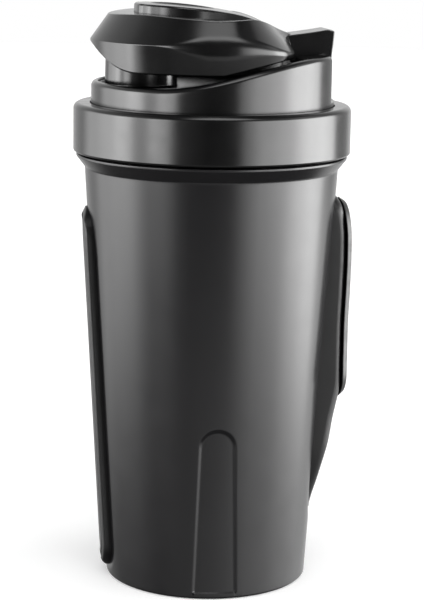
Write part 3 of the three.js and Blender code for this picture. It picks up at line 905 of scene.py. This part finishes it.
def cap_top_plate():
    outline = plate_outline()
    tangent = np.roll(outline, -1, axis=0) - np.roll(outline, 1, axis=0)
    inward = np.stack([-tangent[:, 1], tangent[:, 0]], axis=1)
    inward /= np.linalg.norm(inward, axis=1, keepdims=True)
    dish_x, dish_r, dish_depth, dish_step, root = -11.0, 11.0, 1.3, 0.55, 0.8
    turn = np.arctan2(outline[:, 1], outline[:, 0] - dish_x)
    circle = lambda r: np.stack([dish_x + r * np.cos(turn), r * np.sin(turn)], axis=1)
    base = lambda p: cap_top(p[:, 0], p[:, 1])
    top = lambda p: np.maximum(PLATE_TOP(p[:, 0]) - 0.0012 * p[:, 1] ** 2, base(p) + 0.02)
    with_z = lambda p, z: np.c_[p, z]
    middle = circle(0.0)
    rings = [with_z(middle, base(middle) - root), with_z(outline, base(outline) - root)]
    step = top(outline) - base(outline)
    fillet = np.clip(step * 0.3, 0.01, 0.8)[:, None]
    draft = (step * lerp(0.05, 0.75, smooth(outline[:, 0], -16, 2)))[:, None]
    for t in np.linspace(0, math.pi / 2, 6):
        p = outline + inward * (draft + fillet * (1 - math.cos(t)))
        rings.append(with_z(p, top(p) - (fillet * (1 - math.sin(t)))[:, 0]))
    edge = rings[-1][:, :2]
    for t in np.linspace(0, 1, 9)[1:]:
        p = lerp(edge, circle(dish_r + 0.4), t)
        rings.append(with_z(p, top(p)))
    for t in np.linspace(0, 1, 16)[1:]:
        r = lerp(dish_r + 0.4, 0, t)
        p = circle(r)
        wall = smooth(dish_r + 0.4 - r, 0, 1.1) * dish_step
        bowl = (dish_depth - dish_step) * (1 - (min(r, dish_r) / dish_r) ** 2)
        rings.append(with_z(p, top(p) - wall - bowl))
    piece = grid_piece("cap_top_layer", np.array(rings), sharp_deg=28)
    return dress(piece, "lid_plastic", "cap", "cap_top_plate")


# ---- small pieces


def spout_seal():
    low, high = SEAL_LOW[2], SEAL_HIGH[2]
    disc = SEAL_HIGH[0] - SPOUT_X
    path = rounded(
        [
            (0, low),
            (SPOUT_BORE - 1.4, low, 0.5),
            (SPOUT_BORE - 0.7, low + 2, 0.3),
            (disc, low + 2, 0.5),
            (disc, high, 0.5),
            (0, high),
        ]
    )
    piece = turned("spout_seal_stopper", path, 96, centre=(SPOUT_X, 0))
    return dress(piece, "seal_silicone", "cap", "spout_seal")


def hinge_pin():
    radius = (PIN_HIGH[2] - PIN_LOW[2]) / 2
    half = (PIN_HIGH[1] - PIN_LOW[1]) / 2
    path = rounded([(0, -half), (radius, -half, 0.4), (radius, half, 0.4), (0, half)])
    piece = turned("hinge_pin_rod", path, 40)
    lying = Matrix.Translation((HINGE_X * MM, 0, HINGE_Z * MM)) @ Matrix.Rotation(math.pi / 2, 4, "X")
    piece.data.transform(lying)
    return dress(piece, "steel_wire", "lid", "hinge_pin")


def mixing_ball():
    """One wire wound into a ball of tilted loops that step round the vertical axis."""
    wire = 1.1
    radius = (BALL_HIGH[2] - BALL_LOW[2]) / 2 - wire
    middle = (BALL_HIGH[2] + BALL_LOW[2]) / 2
    loops, steps = 7, 560
    crossing_dip = 0.045  # share of the radius by which the wire dips, so that crossings stay apart
    t = np.linspace(0, 2 * math.pi, steps, endpoint=False)
    swing = loops * t
    tilt = math.radians(78)
    x = np.cos(swing)
    y = np.sin(swing) * math.cos(tilt)
    z = np.sin(swing) * math.sin(tilt)
    centre = np.stack(
        [x * np.cos(t) - y * np.sin(t), x * np.sin(t) + y * np.cos(t), z], axis=1
    )  # each loop stands a little further round than the last
    depth = 1 - crossing_dip * (1 + np.sin(swing * 2 + t))
    centre = centre / np.linalg.norm(centre, axis=1, keepdims=True) * radius * depth[:, None]
    tangent = np.roll(centre, -1, axis=0) - np.roll(centre, 1, axis=0)
    tangent /= np.linalg.norm(tangent, axis=1, keepdims=True)
    out = centre / np.linalg.norm(centre, axis=1, keepdims=True)
    out -= tangent * np.sum(out * tangent, axis=1, keepdims=True)
    out /= np.linalg.norm(out, axis=1, keepdims=True)
    across = np.cross(tangent, out)
    rings = []
    for a in np.linspace(0, 2 * math.pi, 10, endpoint=False):
        rings.append(centre + wire * (out * math.cos(a) + across * math.sin(a)) + (0, 0, middle))
    piece = grid_piece("whisk_ball", np.array(rings), wrap_rows=True, sharp_deg=60)
    return dress(piece, "steel_wire", "ball", "mixing_ball")


for build in (
    cup,
    front_grip,
    rear_pod,
    rear_pad,
    collar,
    gasket,
    upper_lid,
    cap_shell,
    cap_top_plate,
    spout_seal,
    hinge_pin,
    mixing_ball,
):
    build()


# ---- studio

# Radiance of the room by azimuth round the bottle, in degrees from the camera's side and positive
# to the right. Soft panels stand at both sides, and behind the camera it is dark. Each list is one
# band of elevation: TABLE_GLOW is lowest, then LOW_LIGHT, SIDE_LIGHT, HIGH_LIGHT, UPPER_LIGHT and
# OVERHEAD.
SIDE_LIGHT = [
    (-180, 1.0), (-155, 0.8), (-135, 0.8), (-115, 3.6), (-92, 7.0), (-80, 11.0), (-72, 10.5),
    (-64, 4.2), (-57, 4.2), (-49, 9.0), (-38, 7.0), (-29, 0.4), (0, 0.1), (22, 0.2), (29, 3.2),
    (44, 6.5), (66, 8.5), (84, 14.0), (100, 12.0), (116, 7.5), (125, 0.8), (142, 0.6), (156, 1.0),
    (180, 1.0),
]
LOW_LIGHT = [
    (-180, 1.0), (-155, 0.8), (-135, 0.8), (-115, 2.8), (-92, 4.8), (-80, 5.2), (-68, 3.4),
    (-57, 1.8), (-44, 1.2), (-35, 0.6), (-26, 0.1), (0, 0.02), (20, 0.1), (29, 2.2), (44, 5.2),
    (66, 7.5), (84, 11.5), (100, 11.5), (116, 8.0), (127, 2.5), (142, 1.2), (156, 1.0), (180, 1.0),
]
HIGH_LIGHT = [
    (-180, 0.9), (-130, 0.8), (-75, 0.8), (-30, 0.1), (30, 0.1), (60, 0.5), (95, 1.5), (125, 0.6),
    (180, 0.9),
]
UPPER_LIGHT = [
    (-180, 0.6), (-120, 0.4), (-30, 0.1), (-18, 4.2), (30, 4.4), (56, 0.3), (120, 0.2), (180, 0.6),
]
TABLE_GLOW = [
    (-180, 1.0), (-140, 0.4), (-110, 0.2), (-60, 0.2), (-25, 0.6), (0, 0.85), (25, 1.1), (60, 1.5),
    (90, 1.9), (125, 1.6), (150, 1.0), (180, 1.0),
]
OVERHEAD = [
    (-180, 0.5), (-120, 0.2), (-30, 0.1), (-18, 2.6), (44, 2.6), (60, 0.1), (130, 0.1), (180, 0.5),
]
UNDER_LIGHT = 0.16  # the dark table right below
CAMERA_TURN = 5.5  # degrees the camera stands round towards the spout side


def room():
    """A world whose soft panels are seen in reflections; the camera itself sees a white backdrop."""
    world = bpy.data.worlds.new("studio")
    bpy.context.scene.world = world
    world.use_nodes = True
    nodes, links = world.node_tree.nodes, world.node_tree.links
    nodes.clear()
    coordinates = nodes.new("ShaderNodeTexCoord")
    split = nodes.new("ShaderNodeSeparateXYZ")
    links.new(coordinates.outputs["Generated"], split.inputs[0])
    x, y, z = split.outputs

    def compute(operation, *inputs):
        node = nodes.new("ShaderNodeMath")
        node.operation = operation
        for socket, value in zip(node.inputs, inputs):
            if isinstance(value, (int, float)):
                socket.default_value = value
            else:
                links.new(value, socket)
        return node.outputs[0]

    def band(steps):
        """A ramp over azimuth; its colours are scaled so that the brightest is 1."""
        peak = max(value for _, value in steps)
        ramp = nodes.new("ShaderNodeValToRGB")
        ramp.color_ramp.interpolation = "EASE"
        elements = ramp.color_ramp.elements
        for i, (degrees, value) in enumerate(steps):
            at = (degrees + 180) / 360
            element = elements[i] if i < 2 else elements.new(at)
            element.position = at
            element.color = (*(value / peak,) * 3, 1)
        links.new(share, ramp.inputs["Fac"])
        return compute("MULTIPLY", ramp.outputs["Color"], peak)

    def above(low_deg, high_deg):
        step = nodes.new("ShaderNodeMapRange")
        step.interpolation_type = "SMOOTHSTEP"
        step.inputs["From Min"].default_value = math.sin(math.radians(low_deg))
        step.inputs["From Max"].default_value = math.sin(math.radians(high_deg))
        links.new(z, step.inputs["Value"])
        return step.outputs["Result"]

    def blend(share_of_b, a, b):
        return compute("ADD", compute("MULTIPLY", a, compute("SUBTRACT", 1.0, share_of_b)),
                       compute("MULTIPLY", b, share_of_b))

    turn = math.radians(CAMERA_TURN)
    right = compute("SUBTRACT", compute("MULTIPLY", x, math.cos(turn)),
                    compute("MULTIPLY", y, math.sin(turn)))
    away = compute("ADD", compute("MULTIPLY", x, math.sin(turn)),
                   compute("MULTIPLY", y, math.cos(turn)))
    azimuth = compute("ARCTAN2", right, compute("MULTIPLY", away, -1.0))
    share = compute("ADD", compute("MULTIPLY", azimuth, 1 / (2 * math.pi)), 0.5)

    light = blend(above(-38, -31), UNDER_LIGHT, band(TABLE_GLOW))
    light = blend(above(-19, -15), light, band(LOW_LIGHT))
    light = blend(above(-12, -8), light, band(SIDE_LIGHT))
    light = blend(above(12, 26), light, band(HIGH_LIGHT))
    light = blend(above(40, 48), light, band(UPPER_LIGHT))
    light = blend(above(56, 61), light, band(OVERHEAD))

    reflected = nodes.new("ShaderNodeBackground")
    links.new(light, reflected.inputs["Strength"])
    backdrop = nodes.new("ShaderNodeBackground")
    for background in (reflected, backdrop):
        background.inputs["Color"].default_value = (1, 1, 1, 1)
    path = nodes.new("ShaderNodeLightPath")
    mix = nodes.new("ShaderNodeMixShader")
    links.new(path.outputs["Is Camera Ray"], mix.inputs["Fac"])
    links.new(reflected.outputs[0], mix.inputs[1])
    links.new(backdrop.outputs[0], mix.inputs[2])
    output = nodes.new("ShaderNodeOutputWorld")
    links.new(mix.outputs[0], output.inputs["Surface"])


def floor():
    """A pale floor that fades into the white backdrop."""
    bpy.ops.mesh.primitive_circle_add(vertices=96, radius=3.0, fill_type="NGON", location=(0, 0, -0.0002))
    plane = bpy.context.active_object
    plane.name = "floor"
    material = bpy.data.materials.new("floor")
    material.use_nodes = True
    shader = material.node_tree.nodes["Principled BSDF"]
    shader.inputs["Base Color"].default_value = (0.8, 0.8, 0.8, 1)
    shader.inputs["Roughness"].default_value = 0.9
    shader.inputs["Emission Color"].default_value = (1, 1, 1, 1)
    shader.inputs["Emission Strength"].default_value = 0.3
    plane.data.materials.append(material)
    plane.visible_glossy = False


def camera():
    """The view: 10 degrees down, from 0.69 m, with a shifted lens."""
    distance, height = 0.6945, 0.2349  # metres
    pitch, roll, turn = (math.radians(degrees) for degrees in (10, 0.91, CAMERA_TURN))
    data = bpy.data.cameras.new("camera")
    data.lens = 118.08
    data.sensor_width = 36
    data.shift_x, data.shift_y = 0.0037, -0.0577
    eye = bpy.data.objects.new("camera", data)
    bpy.context.scene.collection.objects.link(eye)
    eye.location = (-distance * math.sin(turn), -distance * math.cos(turn), height)
    level = Matrix.Rotation(-turn, 4, "Z") @ Matrix.Rotation(math.pi / 2 - pitch, 4, "X")
    rolled = level @ Matrix.Rotation(roll, 4, "Z")
    eye.rotation_euler = rolled.to_euler()
    bpy.context.scene.camera = eye


room()
floor()
camera()
bpy.context.scene.view_settings.view_transform = "Standard"
